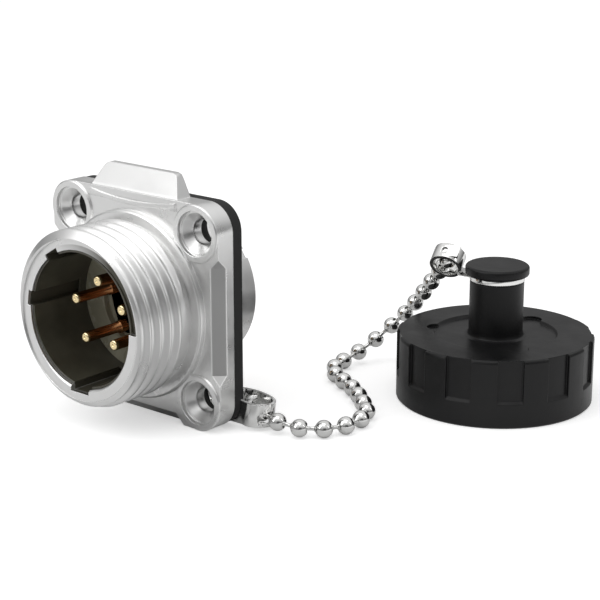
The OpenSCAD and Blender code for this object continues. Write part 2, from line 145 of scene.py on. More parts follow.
def worn_edges(tree, radius):
    """How far the surface turns within the radius: 1 on sharp edges, 0 on flats."""
    rounded = add(tree, "ShaderNodeBevel", {"Radius": radius}, samples=6).outputs[0]
    true_normal = add(tree, "ShaderNodeNewGeometry").outputs["Normal"]
    return ramp(tree, along_way(tree, rounded, true_normal), 0.995, 0.86)


def bumped(tree, height, depth, edge_radius):
    """A normal with the bump's height in metres, over edges rounded to the radius."""
    edges = add(tree, "ShaderNodeBevel", {"Radius": edge_radius}, samples=6).outputs[0]
    return add(tree, "ShaderNodeBump",
               {"Height": height, "Distance": depth, "Strength": 1.0, "Normal": edges}).outputs[0]


def axis_distance(tree, place):
    """Distance of a spot from the mating axis, and its place along that axis."""
    x, y, z = parts(tree, place)
    squares = calc(tree, "MULTIPLY_ADD", x, x, calc(tree, "MULTIPLY", z, z))
    return calc(tree, "SQRT", squares), y


def edge_relief(tree, place):
    """1 on the slopes that are cast into the middle of the flange's front edges. A slope lies where
    a spot's distance out from the middle and forward of the panel add up to slope_sum."""
    flange_edge, plate_front, slope_sum, half_length = 12.7, 3.85, 15.35, 7.2
    x, y, z = parts(tree, place)
    across, up = calc(tree, "ABSOLUTE", x), calc(tree, "ABSOLUTE", z)
    out, aside = calc(tree, "MAXIMUM", across, up), calc(tree, "MINIMUM", across, up)
    reach = calc(tree, "SUBTRACT", out, y)
    slope = ramp(tree, reach, (slope_sum - 0.1) * mm, (slope_sum - 0.02) * mm)
    within_edge = ramp(tree, out, (flange_edge - 0.04) * mm, (flange_edge - 0.1) * mm)
    behind_front = ramp(tree, y, (0.04 - plate_front) * mm, (0.1 - plate_front) * mm)
    within_length = ramp(tree, aside, (half_length + 0.1) * mm, (half_length - 0.1) * mm)
    return product(tree, slope, product(tree, within_edge, behind_front), within_length)


def casting_marks(tree, place, tint, colour, dullness, height):
    """The shell's marks: fine turning lines in front of the flange, a mouth painted near-black as painted
    shade and reflection of the dark inserts, edge reliefs darkened as painted shade, and duller metal on the
    reliefs and the nameplate."""
    radius, along = axis_distance(tree, place)
    line_width = 0.11 * mm
    lines = calc(tree, "SINE", product(tree, calc(tree, "ADD", radius, along), math.tau / line_width))
    turned_part = product(tree, ramp(tree, radius, 10.2 * mm, 10.0 * mm),
                          ramp(tree, along, -4.6 * mm, -4.8 * mm))
    height = calc(tree, "MULTIPLY_ADD", lines, product(tree, turned_part, 0.25), height)
    # Painted shade and reflection: the bore inside the mouth is painted near-black and made less metallic,
    # standing in for the dark inserts it mirrors.
    bore = product(tree, ramp(tree, radius, 8.35 * mm, 8.25 * mm), ramp(tree, along, -12.1 * mm, -11.9 * mm),
                   ramp(tree, along, -2.0 * mm, -2.4 * mm))
    colour = blend_colours(tree, bore, colour, (0.05, 0.046, 0.033, 1))
    dullness = calc(tree, "MULTIPLY_ADD", bore, 0.15, dullness)
    # Painted shade: the edge reliefs are darkened as if seen in shade, and their metal is made a little
    # duller.
    relief_shade = edge_relief(tree, place)
    colour = blend_colours(tree, product(tree, relief_shade, 0.75), colour, scaled(tint, 0.42))
    dullness = calc(tree, "MULTIPLY_ADD", relief_shade, 0.12, dullness)
    nameplate = ramp(tree, parts(tree, place)[2], 12.75 * mm, 13.0 * mm)
    colour = blend_colours(tree, nameplate, colour, scaled(tint, 0.86))
    dullness = calc(tree, "MULTIPLY_ADD", nameplate, 0.12, dullness)
    return colour, dullness, height, calc(tree, "SUBTRACT", 1.0, bore)


def plated(name, tint, rough, grain_depth, edge_radius, marks=None):
    """Plated metal: blotches of shine, a fine grain and brighter edges. marks, if given, changes
    the look in places and says how much of the surface is metal there."""
    finish, tree, shader, place = new_finish(name)
    blotch = noise(tree, place, 260.0, 4.0)
    wear = worn_edges(tree, edge_radius)
    colour = blend_colours(tree, ramp(tree, blotch, 0.35, 0.65), scaled(tint, 0.93), scaled(tint, 1.0))
    colour = blend_colours(tree, wear, colour, scaled(tint, 1.1))
    dullness = ramp(tree, blotch, 0.3, 0.7, rough * 0.8, rough * 1.25)
    dullness = calc(tree, "MULTIPLY_ADD", wear, -0.3 * rough, dullness)
    height = noise(tree, place, 5200.0, 3.0, 0.55)
    if marks:
        colour, dullness, height, metal = marks(tree, place, tint, colour, dullness, height)
        tree.links.new(metal, shader.inputs["Metallic"])
    else:
        shader.inputs["Metallic"].default_value = 1.0
    tree.links.new(colour, shader.inputs["Base Color"])
    tree.links.new(dullness, shader.inputs["Roughness"])
    tree.links.new(bumped(tree, height, grain_depth, edge_radius), shader.inputs["Normal"])
    return finish


def place_piece(piece, body, slot, finish, *nodes):
    """The piece gets its finish, moves with its body and stands for its CAD nodes."""
    piece.data.materials.clear()
    piece.data.materials.append(finish)
    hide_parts(*nodes)
    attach(piece, body)
    return piece


def new_object(name, mesh):
    made = bpy.data.objects.new(name, mesh)
    scene.collection.objects.link(made)
    return made


def joined_copy(node, name):
    """A copy of a CAD node with its loose triangles joined into whole faces."""
    form = bmesh.new()
    form.from_mesh(frame["nodes"][node].data)
    bmesh.ops.remove_doubles(form, verts=form.verts, dist=0.0005 * mm)
    bmesh.ops.dissolve_limit(form, angle_limit=math.radians(0.3), verts=form.verts, edges=form.edges)
    mesh = bpy.data.meshes.new(name)
    form.to_mesh(mesh)
    form.free()
    return new_object(name, mesh)


def apply_all(piece):
    """The piece's modifiers become its mesh."""
    shaped = bpy.data.meshes.new_from_object(piece.evaluated_get(bpy.context.evaluated_depsgraph_get()))
    piece.modifiers.clear()
    piece.data = shaped
    shaped.name = piece.name


def cut_away(piece, *cutters, operation="DIFFERENCE"):
    """Takes the cutters out of the piece, or joins them to it, and removes them."""
    bpy.context.view_layer.update()
    for cutter in cutters:
        cut = piece.modifiers.new("cut", "BOOLEAN")
        cut.operation = operation
        cut.solver = "EXACT"
        cut.object = cutter
    apply_all(piece)
    for cutter in cutters:
        bpy.data.objects.remove(cutter)


def soften(piece, width, sharp=30.0, keep=None):
    """Rounds the edges sharper than an angle, except where keep holds for both their ends."""
    mesh = piece.data
    form = bmesh.new()
    form.from_mesh(mesh)
    layers = form.edges.layers.float
    weight = layers.get("bevel_weight_edge") or layers.new("bevel_weight_edge")
    for edge in form.edges:
        if len(edge.link_faces) == 2 and edge.calc_face_angle(0.0) > math.radians(sharp):
            edge[weight] = 0.0 if keep and all(keep(end.co) for end in edge.verts) else 1.0
    form.to_mesh(mesh)
    form.free()
    mesh.shade_smooth()
    round_off = piece.modifiers.new("round", "BEVEL")
    round_off.width = width
    round_off.segments = 2
    round_off.limit_method = "WEIGHT"
    round_off.harden_normals = False
    flats = piece.modifiers.new("flats", "WEIGHTED_NORMAL")
    flats.keep_sharp = True
    apply_all(piece)
    piece.data.set_sharp_from_angle(angle=math.radians(50))


KINDS = {"float": "NodeSocketFloat", "int": "NodeSocketInt", "bool": "NodeSocketBool",
         "vector": "NodeSocketVector", "object": "NodeSocketObject", "material": "NodeSocketMaterial"}


def new_rule(name, **inputs):
    """A Geometry Nodes tree with named inputs, and the sockets that hold their values."""
    tree = bpy.data.node_groups.new(name, "GeometryNodeTree")
    for label, kind in inputs.items():
        tree.interface.new_socket(label.replace("_", " "), in_out="INPUT", socket_type=KINDS[kind])
    tree.interface.new_socket("Geometry", in_out="OUTPUT", socket_type="NodeSocketGeometry")
    return tree, tree.nodes.new("NodeGroupInput").outputs


def end_rule(tree, geometry, finish):
    """Real geometry with its material goes out of the rule."""
    real = add(tree, "GeometryNodeRealizeInstances", {0: geometry}).outputs[0]
    coated = add(tree, "GeometryNodeSetMaterial", {"Geometry": real, "Material": finish}).outputs[0]
    tree.links.new(coated, tree.nodes.new("NodeGroupOutput").inputs[0])
    return tree


def made_by(tree, name, **values):
    """A mesh object built once by a rule with these input values."""
    made = new_object(name, bpy.data.meshes.new(name))
    rule = made.modifiers.new("rule", "NODES")
    rule.node_group = tree
    for socket in tree.interface.items_tree:
        if socket.in_out == "INPUT" and socket.name.replace(" ", "_") in values:
            rule[socket.identifier] = values[socket.name.replace(" ", "_")]
    apply_all(made)
    return made


def grid_place(tree, columns, rows):
    """A grid, the share of a turn of each of its spots and the number of its row."""
    grid = add(tree, "GeometryNodeMeshGrid",
               {"Size X": 1.0, "Size Y": 1.0, "Vertices X": calc(tree, "ADD", columns, 1.0),
                "Vertices Y": calc(tree, "ADD", rows, 1.0)}).outputs[0]
    x, y, _ = parts(tree, add(tree, "GeometryNodeInputPosition").outputs[0])
    turn = calc(tree, "ADD", x, 0.5)
    row = calc(tree, "MULTIPLY", calc(tree, "ADD", y, 0.5), rows)
    return grid, turn, calc(tree, "ROUND", row)


def placed(tree, grid, x, y, z):
    """The grid with its spots moved, and its seam and poles closed."""
    spots = add(tree, "ShaderNodeCombineXYZ", {0: x, 1: y, 2: z}).outputs[0]
    moved = add(tree, "GeometryNodeSetPosition", {"Geometry": grid, "Position": spots}).outputs[0]
    smooth = add(tree, "GeometryNodeSetShadeSmooth", {"Geometry": moved}).outputs[0]
    return add(tree, "GeometryNodeMergeByDistance", {"Geometry": smooth, "Distance": 0.0002 * mm}).outputs[0]


def thread_rule():
    """A sleeve with a right-hand thread of round crests. They rise from nothing over the first
    part of a turn, and a cone turns the last one down to the face."""
    rise_start, rise_length, cone_slope = 355.0, 55.0, 1.25
    tree, given = new_rule("rolled thread", Root_radius="float", Crest_radius="float", Inner_radius="float",
                           Face_radius="float", Pitch="float", First_crest="float", Start="float",
                           End="float", Columns="int", Rows="int", Finish="material")
    grid, turn, row = grid_place(tree, given["Columns"], given["Rows"])
    last = calc(tree, "SUBTRACT", given["Rows"], 1.0)
    share = calc(tree, "DIVIDE", calc(tree, "SUBTRACT", row, 1.0), calc(tree, "SUBTRACT", last, 2.0),
                 clamp=True)
    along = between(tree, share, given["Start"], given["End"])
    past_crest = calc(tree, "DIVIDE", calc(tree, "SUBTRACT", along, given["First crest"]), given["Pitch"])
    phase = calc(tree, "SUBTRACT", past_crest, turn)
    wave = calc(tree, "COSINE", calc(tree, "MULTIPLY", phase, math.tau))
    crest = calc(tree, "MULTIPLY_ADD", wave, 0.5, 0.5)
    wound = calc(tree, "ADD", calc(tree, "ROUND", phase), turn)
    degrees = calc(tree, "MULTIPLY_ADD", wound, 360.0, rise_start)
    risen = calc(tree, "DIVIDE", degrees, rise_length, clamp=True)
    radius = between(tree, product(tree, crest, risen), given["Root radius"], given["Crest radius"])
    from_face = calc(tree, "SUBTRACT", given["End"], along)
    radius = calc(tree, "MINIMUM", radius,
                  calc(tree, "MULTIPLY_ADD", from_face, cone_slope, given["Face radius"]))
    first_row = calc(tree, "LESS_THAN", row, 0.5)
    last_row = calc(tree, "GREATER_THAN", row, calc(tree, "ADD", last, 0.5))
    bore_row = calc(tree, "GREATER_THAN", row, calc(tree, "SUBTRACT", last, 0.5))
    at_back = calc(tree, "ADD", first_row, last_row)
    inside = calc(tree, "ADD", at_back, bore_row, clamp=True)
    radius = between(tree, inside, radius, given["Inner radius"])
    along = between(tree, at_back, along, given["Start"])
    x, z = on_circle(tree, radius, calc(tree, "MULTIPLY", turn, math.tau))
    sleeve = placed(tree, grid, x, calc(tree, "MULTIPLY", along, -1.0), z)
    return end_rule(tree, sleeve, given["Finish"])


def profile_line(name, points):
    """A polyline of (radius, height) pairs in millimetres, to be turned."""
    line = bpy.data.curves.new(name, "CURVE")
    line.dimensions = "3D"
    spline = line.splines.new("POLY")
    spline.points.add(len(points) - 1)
    for spot, (radius, height) in zip(spline.points, points):
        spot.co = (radius * mm, 0, height * mm, 1)
    return new_object(name, line)


def arc(centre, radius, start, end, steps):
    """Points of a circle in a profile; angles are measured from the axis, in degrees."""
    return [(radius * math.sin(math.radians(start + (end - start) * i / steps)),
             centre + radius * math.cos(math.radians(start + (end - start) * i / steps)))
            for i in range(steps + 1)]


def turning_rule():
    """A profile turned round Z. One meridian can sink a little, as a rolled seam."""
    tree, given = new_rule("turned piece", Profile="object", Columns="int", Seam_depth="float",
                           Finish="material")
    outline = add(tree, "GeometryNodeObjectInfo", {"Object": given["Profile"]}).outputs["Geometry"]
    measured = add(tree, "GeometryNodeAttributeDomainSize", {0: outline}, component="CURVE")
    count = measured.outputs["Point Count"]
    grid, turn, row = grid_place(tree, given["Columns"], calc(tree, "SUBTRACT", count, 1.0))
    index = add(tree, "FunctionNodeFloatToInt", {0: row}, rounding_mode="ROUND").outputs[0]
    place = add(tree, "GeometryNodeInputPosition").outputs[0]
    spot = add(tree, "GeometryNodeSampleIndex", {"Geometry": outline, "Value": place, "Index": index},
               data_type="FLOAT_VECTOR", domain="POINT").outputs[0]
    radius, _, height = parts(tree, spot)
    from_seam = calc(tree, "ABSOLUTE", calc(tree, "SUBTRACT", turn, 0.5))
    on_seam = calc(tree, "LESS_THAN", calc(tree, "MULTIPLY", from_seam, given["Columns"]), 0.5)
    off_axis = ramp(tree, radius, 0.1 * mm, 0.5 * mm)
    radius = calc(tree, "SUBTRACT", radius, product(tree, on_seam, off_axis, given["Seam depth"]))
    x, y = on_circle(tree, radius, calc(tree, "MULTIPLY", turn, math.tau))
    skin = placed(tree, grid, x, y, height)
    return end_rule(tree, skin, given["Finish"])


turned_piece = turning_rule()


def turned(name, points, columns, finish, seam_depth=0.0):
    """A profile turned round Z, as an object of its own."""
    line = profile_line(name + "_profile", points)
    made = made_by(turned_piece, name, Profile=line, Columns=columns, Seam_depth=seam_depth,
                   Finish=finish)
    bpy.data.objects.remove(line)
    return made


def dress(node, finish):
    """Gives a CAD node its finish."""
    mesh = frame["nodes"][node].data
    mesh.materials.clear()
    mesh.materials.append(finish)


mouth_front = -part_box("shell")[0].y
sleeve_r = 8.95
thread_back = 4.645
room_r, room_front = 12.0, 13.0

cast_nickel = plated("cast_nickel", (0.83, 0.83, 0.825), 0.31, 0.004 * mm, 0.12 * mm, casting_marks)
shell = joined_copy("shell", "shell_casting")
thread_room = turned("thread_room", [
    (sleeve_r, thread_back), (room_r, thread_back), (room_r, room_front), (sleeve_r, room_front),
    (sleeve_r, thread_back)
], 160, cast_nickel)
thread_room.matrix_world = Matrix.Rotation(math.radians(90), 4, "X")
cut_away(shell, thread_room)
soften(shell, 0.1 * mm)
thread = made_by(thread_rule(), "rolled_thread", Root_radius=9.37 * mm, Crest_radius=9.95 * mm,
                 Inner_radius=sleeve_r * mm, Face_radius=9.02 * mm, Pitch=1.5 * mm, First_crest=6.825 * mm,
                 Start=4.5 * mm, End=mouth_front, Columns=160, Rows=150, Finish=cast_nickel)
place_piece(shell, "receptacle", "die_cast_nickel", cast_nickel, "shell")
place_piece(thread, "receptacle", "die_cast_nickel", cast_nickel, "shell")


# ---- Gasket -----------------------------------------------------------------------------
# Soft black rubber sheet, die-cut to the outline of the flange and squeezed behind it.

def moulded(name, dark, light, rough, grain_scale, grain_depth, edge_radius, pale_edges=0.5, specular=0.5):
    """Moulded plastic or rubber: a colour clouded from dark to light, paler edges and a fine grain."""
    finish, tree, shader, place = new_finish(name)
    cloud = noise(tree, place, 320.0, 4.0)
    grain = noise(tree, place, grain_scale, 3.0, 0.6)
    wear = worn_edges(tree, edge_radius)
    tint = blend_colours(tree, ramp(tree, cloud, 0.35, 0.7), (*dark, 1), (*light, 1))
    pale = (*[min(1.0, channel * 1.6 + 0.01) for channel in light], 1)
    tint = blend_colours(tree, calc(tree, "MULTIPLY", wear, pale_edges), tint, pale)
    tree.links.new(tint, shader.inputs["Base Color"])
    tree.links.new(ramp(tree, cloud, 0.3, 0.7, rough * 0.85, rough * 1.15), shader.inputs["Roughness"])
    tree.links.new(bumped(tree, grain, grain_depth, edge_radius), shader.inputs["Normal"])
    shader.inputs["Specular IOR Level"].default_value = specular
    return finish


gasket_rubber = moulded("gasket_rubber", (0.008, 0.008, 0.008), (0.014, 0.014, 0.014), rough=0.75,
                        grain_scale=2500.0, grain_depth=0.01 * mm, edge_radius=0.1 * mm)
gasket = joined_copy("panel_gasket", "gasket_sheet")
soften(gasket, 0.08 * mm)
place_piece(gasket, "receptacle", "gasket_rubber", gasket_rubber, "panel_gasket")


# ---- Inserts and liner ------------------------------------------------------------------
# Glossy moulded thermoplastic that holds the contacts, pushed in from behind against a web
# of the shell and held by a brass ring nut. A thin dark sleeve lines the mouth.

insert_plastic = moulded("insert_plastic", (0.2, 0.19, 0.14), (0.29, 0.28, 0.21), rough=0.28,
                         grain_scale=1800.0, grain_depth=0.004 * mm, edge_radius=0.12 * mm, pale_edges=0.2)
front_insert = joined_copy("insert_front", "front_insert")
soften(front_insert, 0.12 * mm)
place_piece(front_insert, "receptacle", "insert_plastic", insert_plastic, "insert_front")
rear_plastic = moulded("rear_plastic", (0.05, 0.048, 0.04), (0.08, 0.077, 0.065), rough=0.4,
                       grain_scale=1800.0, grain_depth=0.006 * mm, edge_radius=0.1 * mm)
dress("insert_rear", rear_plastic)
liner_plastic = moulded("liner_plastic", (0.045, 0.042, 0.03), (0.07, 0.066, 0.048), rough=0.33,
                        grain_scale=1500.0, grain_depth=0.006 * mm, edge_radius=0.06 * mm)
liner = joined_copy("mouth_liner", "mouth_sleeve")
soften(liner, 0.04 * mm)
place_piece(liner, "receptacle", "liner_plastic", liner_plastic, "mouth_liner")
seal_rubber = moulded("seal_rubber", (0.25, 0.06, 0.03), (0.32, 0.09, 0.05), rough=0.6,
                      grain_scale=2500.0, grain_depth=0.01 * mm, edge_radius=0.1 * mm)
dress("insert_seal", seal_rubber)
dress("rear_nut", plated("nut_brass", (0.8, 0.6, 0.3), 0.28, 0.003 * mm, 0.1 * mm))


# ---- Contacts ---------------------------------------------------------------------------
# Five pins turned from brass and plated with gold: a flat tip with a round corner and a centre
# mark, a locking shoulder inside the inserts and a solder cup that is open on its outer side.

def contact_finish():
    """Gold on the tip, painted darker brown down the shank as painted shade and reflection of the dark
    mouth, with fine turning rings.
    """
    finish, tree, shader, place = new_finish("contact_gold")
    along = parts(tree, place)[1]
    blotch = noise(tree, place, 500.0, 3.0)
    unshaded_tip = ramp(tree, calc(tree, "MULTIPLY_ADD", blotch, 0.3 * mm, along), (0.65 - pin_tip) * mm,
                     (0.35 - pin_tip) * mm, soft=True)
    # Painted reflection: the shank is painted dark brown for the dark mouth it mirrors, and the tip keeps
    # its pale gold.
    colour = blend_colours(tree, unshaded_tip, (0.42, 0.2, 0.09, 1), (1.0, 0.82, 0.48, 1))
    rings = calc(tree, "SINE", calc(tree, "MULTIPLY", along, math.tau / (0.06 * mm)))
    tree.links.new(colour, shader.inputs["Base Color"])
    tree.links.new(ramp(tree, blotch, 0.3, 0.7, 0.16, 0.27), shader.inputs["Roughness"])
    tree.links.new(bumped(tree, rings, 0.0002 * mm, 0.05 * mm), shader.inputs["Normal"])
    shader.inputs["Metallic"].default_value = 1.0
    return finish


def ring_rule():
    """Copies of a form on a ring round the mating axis, each turned with its place."""
    tree, given = new_rule("ring of contacts", Form="object", Count="int", Ring_radius="float",
                           First_turn="float", Finish="material")
    spots = add(tree, "GeometryNodePoints", {"Count": given["Count"]}).outputs[0]
    index = add(tree, "GeometryNodeInputIndex").outputs[0]
    step = calc(tree, "DIVIDE", math.tau, given["Count"])
    angle = calc(tree, "MULTIPLY_ADD", index, step, given["First turn"])
    x, z = on_circle(tree, given["Ring radius"], angle)
    place = add(tree, "ShaderNodeCombineXYZ", {0: x, 2: z}).outputs[0]
    spots = add(tree, "GeometryNodeSetPosition", {"Geometry": spots, "Position": place}).outputs[0]
    form = add(tree, "GeometryNodeObjectInfo", {"Object": given["Form"]}).outputs["Geometry"]
    turn = calc(tree, "MULTIPLY", angle, -1.0)
    facing = add(tree, "ShaderNodeCombineXYZ", {0: math.radians(90), 1: turn}).outputs[0]
    copies = add(tree, "GeometryNodeInstanceOnPoints",
                 {"Points": spots, "Instance": form, "Rotation": facing}).outputs[0]
    return end_rule(tree, copies, given["Finish"])


def block(name, low, high):
    """A block between two corners in millimetres, to cut with."""
    form = bmesh.new()
    middle, size = (Vector(low) + Vector(high)) / 2 * mm, (Vector(high) - Vector(low)) * mm
    bmesh.ops.create_cube(form, size=1.0, matrix=Matrix.LocRotScale(middle, None, size))
    mesh = bpy.data.meshes.new(name)
    form.to_mesh(mesh)
    form.free()
    return new_object(name, mesh)


pin_tip = -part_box("contact_pin_1")[0].y / mm
cup_end = -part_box("contact_pin_1")[1].y / mm
pin_r = 0.6
collar_r, collar_front = 0.7, 4.4
shoulder_r, shoulder_back, shoulder_front = 0.95, 0.9, 1.98
cup_r, cup_bore_r, cup_depth, cup_front = 0.9, 0.65, 2.6, -3.02
break_edge = 0.03
corner_r = 0.24
mark_r, mark_depth = 0.15, 0.14

contact_gold = contact_finish()
tip_corner = [(pin_r - corner_r + across, along)
              for across, along in arc(pin_tip - corner_r - break_edge, corner_r, 90, 20, 5)]
contact = turned("contact_form", [
    (0, cup_end + cup_depth), (cup_bore_r, cup_end + cup_depth), (cup_bore_r, cup_end + 0.08),
    (cup_bore_r + break_edge, cup_end), (cup_r - break_edge, cup_end), (cup_r, cup_end + break_edge),
    (cup_r, cup_front - break_edge), (cup_r - break_edge, cup_front), (pin_r, cup_front),
    (pin_r, shoulder_back), (shoulder_r, shoulder_back), (shoulder_r, shoulder_front),
    (collar_r, shoulder_front), (collar_r, collar_front - 0.04), (collar_r - 0.04, collar_front),
    (pin_r, collar_front), *tip_corner, (0.2, pin_tip - 0.004), (mark_r, pin_tip - 0.02),
    (0.11, pin_tip - 0.1), (0, pin_tip - mark_depth)
], 40, contact_gold)
cut_away(contact, block("cup_opening", (0, -2, cup_end - 1), (3, 2, cup_end + 1.6)))
contact_count = 5
contacts = made_by(ring_rule(), "contacts", Form=contact, Count=contact_count, Ring_radius=3.77 * mm,
                   First_turn=math.radians(90), Finish=contact_gold)
bpy.data.objects.remove(contact)
place_piece(contacts, "receptacle", "contact_gold", contact_gold,
            *[f"contact_pin_{number + 1}" for number in range(contact_count)])


# ---- Chain lug --------------------------------------------------------------------------
# Nickel-plated steel strip under the lower right screw. It passes the flange and folds into a
# wide loop behind it, round the first ball; the link leaves through a slot in the fold.

def strip_rule():
    """A flat strip that stands on its edge along a bent line."""
    tree, given = new_rule("bent strip", Line="object", Thickness="float", Height="float", Finish="material")
    bent = add(tree, "GeometryNodeObjectInfo", {"Object": given["Line"]}).outputs["Geometry"]
    section = add(tree, "GeometryNodeCurvePrimitiveQuadrilateral",
                  {"Width": given["Thickness"], "Height": given["Height"]}).outputs[0]
    strip = add(tree, "GeometryNodeCurveToMesh",
                {"Curve": bent, "Profile Curve": section, "Fill Caps": True}).outputs[0]
    return end_rule(tree, strip, given["Finish"])


def bent_line(name, spots, height):
    """A smooth level line through plan spots in millimetres."""
    line = bpy.data.curves.new(name, "CURVE")
    line.dimensions = "3D"
    line.resolution_u = 8
    spline = line.splines.new("BEZIER")
    spline.bezier_points.add(len(spots) - 1)
    for point, (x, y) in zip(spline.bezier_points, spots):
        point.co = (x * mm, y * mm, height * mm)
        point.handle_left_type = point.handle_right_type = "AUTO"
    return new_object(name, line)


strip_nickel = plated("strip_nickel", (0.84, 0.84, 0.83), 0.1, 0.0012 * mm, 0.06 * mm)
strip_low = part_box("chain_lug")[0].z / mm
strip_height, strip_t = 2.7, 0.36
loop_start = 12.3
loop_lean, lean_from_start = 0.12, 1.7
pivots = {joint["child"]: Vector(joint["pos_m"]) for joint in frame["joints"]}
link_ways = (-8.5, -16, -24, -32, -40, -48)
slot_mouth_r, slot_r, slot_drop = 0.72, 0.55, 0.2

lug = joined_copy("chain_lug", "lug_strip")
cut_away(lug, block("loop_room", (loop_start, -2, strip_low - 1), (loop_start + 5, 4, strip_low + 6)))
lug_line = bent_line("lug_line", [
    (loop_start - 0.2, -strip_t / 2), (12.7, -0.2), (13.3, -0.36), (14.05, -0.34), (14.75, -0.02),
    (15.22, 0.55), (15.4, 1.25), (15.15, 1.9), (14.6, 2.4), (13.8, 2.85), (12.8, 3.2), (11.7, 3.38),
    (10.6, 3.32), (9.6, 3.0), (8.9, 2.4), (8.75, 1.6), (9.2, 0.9)
], strip_low + strip_height / 2)
loop = made_by(strip_rule(), "lug_loop", Line=lug_line, Thickness=strip_t * mm, Height=strip_height * mm,
               Finish=strip_nickel)
bpy.data.objects.remove(lug_line)
for corner in loop.data.vertices:
    lean = loop_lean * min(1.0, max(0.0, (corner.co.x / mm - loop_start) / lean_from_start))
    corner.co.x += lean * (corner.co.z - strip_low * mm)
slot = []
for heading in link_ways:
    radius = slot_mouth_r if heading == link_ways[0] else slot_r
    rod = turned("slot_rod", [(0, 0), (radius, 0), (radius, 4), (0, 4)], 32, strip_nickel)
    rod.matrix_world = (Matrix.Translation(pivots["bead_01"] - Vector((0, 0, slot_drop * mm)))
                        @ Matrix.Rotation(math.radians(heading), 4, "Z")
                        @ Matrix.Rotation(math.radians(90), 4, "Y"))
    slot.append(rod)
cut_away(loop, *slot)
cut_away(lug, loop, operation="UNION")
soften(lug, 0.05 * mm)
place_piece(lug, "receptacle", "lug_steel", strip_nickel, "chain_lug")


# ---- Ball chain -------------------------------------------------------------------------
# Nickel-plated balls of thin strip, each rolled round the ends of two links with a fine seam.
# A link is a rod with a knob that is caught in the ball before it.

def chain_rule():
    """A ball whose hole looks one way, and its link that leaves the other way."""
    tree, given = new_rule("ball and link", Ball="object", Link="object", Centre="vector", Hole_way="vector",
                           Link_way="vector", Spin="float", Linked="bool", Finish="material")
    spin = add(tree, "ShaderNodeCombineXYZ", {2: given["Spin"]}).outputs[0]
    forms = []
    for form, way in (("Ball", "Hole way"), ("Link", "Link way")):
        shape = add(tree, "GeometryNodeObjectInfo", {"Object": given[form]}).outputs["Geometry"]
        spun = add(tree, "GeometryNodeTransform", {"Geometry": shape, "Rotation": spin}).outputs[0]
        turn = add(tree, "FunctionNodeAlignRotationToVector", {"Vector": given[way]}, axis="Z").outputs[0]
        forms.append(add(tree, "GeometryNodeTransform",
                         {"Geometry": spun, "Translation": given["Centre"], "Rotation": turn}).outputs[0])
    ball, link = forms
    link = add(tree, "GeometryNodeSwitch", {"Switch": given["Linked"], "True": link},
               input_type="GEOMETRY").outputs[0]
    joined = add(tree, "GeometryNodeJoinGeometry").outputs[0]
    for form in (link, ball):
        tree.links.new(form, joined.node.inputs[0])
    return end_rule(tree, joined, given["Finish"])


def ball_centre(node, guess):
    """Centre of a CAD ball: the point that lies one ball radius from its outer vertices."""
    spots = np.array([vertex.co[:] for vertex in frame["nodes"][node].data.vertices])
    centre = np.array(guess, float)
    for _ in range(6):
        arms = spots - centre
        length = np.linalg.norm(arms, axis=1)
        outer = abs(length - ball_r) < 0.035 * mm
        centre += np.linalg.lstsq(arms[outer] / length[outer, None], length[outer] - ball_r, rcond=None)[0]
    return Vector(centre)


ball_r = 1.0 * mm
pitch = 2.65 * mm
knob_centre = 2.31
spin_step = 137.5
bright_nickel = plated("bright_nickel", (0.76, 0.76, 0.75), 0.11, 0.0008 * mm, 0.05 * mm)
ball = turned("ball_form", [
    *arc(0, 1.0, 180, 34, 26), (0.535, 0.845), (0.505, 0.835), (0.484, 0.8), (0.48, 0.75), (0.5, 0.732),
    *arc(0, 0.91, 36, 180, 14)
], 48, bright_nickel, seam_depth=0.02 * mm)
link = turned("link_form", [
    (0, 0.86), (0.34, 0.86), (0.35, 0.95), (0.335, 0.99), (0.28, 1.02), (0.235, 1.05), (0.22, 1.09),
    *arc(knob_centre, 0.52, 155, 0, 14)
], 24, bright_nickel)
beads = sorted(name for name in frame["nodes"] if name.startswith("bead_"))
centres = [pivots["bead_01"]]
for before, node in zip(beads, beads[1:]):
    way = (pivots[node] - centres[-1]).normalized()
    centres.append(ball_centre(node, centres[-1] + pitch * way))
ways = [(after - before).normalized() for before, after in zip(centres, centres[1:])]
ball_and_link = chain_rule()
for number, node in enumerate(beads):
    bead = made_by(ball_and_link, f"chain_ball_{number + 1:02d}", Ball=ball, Link=link,
                   Centre=centres[number], Hole_way=ways[min(number, len(ways) - 1)],
                   Link_way=-ways[max(number - 1, 0)], Spin=math.radians(spin_step * number),
                   Linked=number > 0, Finish=bright_nickel)
    place_piece(bead, node, "bead_nickel", bright_nickel, node)
for form in (ball, link):
    bpy.data.objects.remove(form)


# ---- Cap coupling -----------------------------------------------------------------------
# Strip like the lug's: a flat ring that turns on the neck of the cap's knob, and a loop round
# the last ball. Its edge is hollowed where the ball before that one comes near in a full swing.

def ball_room(centre, radius):
    """A sphere to cut with."""
    form = bmesh.new()
    bmesh.ops.create_uvsphere(form, u_segments=48, v_segments=24, radius=radius,
                              matrix=Matrix.Translation(centre))
    mesh = bpy.data.meshes.new("ball_room")
    form.to_mesh(mesh)
    form.free()
    return new_object("ball_room", mesh)


swing = next(joint for joint in frame["joints"] if joint["child"] == "coupling")
full_swing = math.radians(-swing["range_deg"][0])
hinge = pivots["coupling"]
near_ball = hinge + Matrix.Rotation(full_swing, 3, Vector(swing["axis"])) @ (centres[-2] - hinge)
coupling = joined_copy("cap_coupling", "coupling_strip")
cut_away(coupling, ball_room(near_ball, ball_r + 0.05 * mm))
soften(coupling, 0.05 * mm)
place_piece(coupling, "coupling", "coupling_steel", strip_nickel, "cap_coupling")


# ---- Dust cap ---------------------------------------------------------------------------
# Black moulded nylon screw cap with grip flutes and a knob; the head is pushed into the
# post and traps the ring of the coupling. A rubber washer lies under the ceiling.

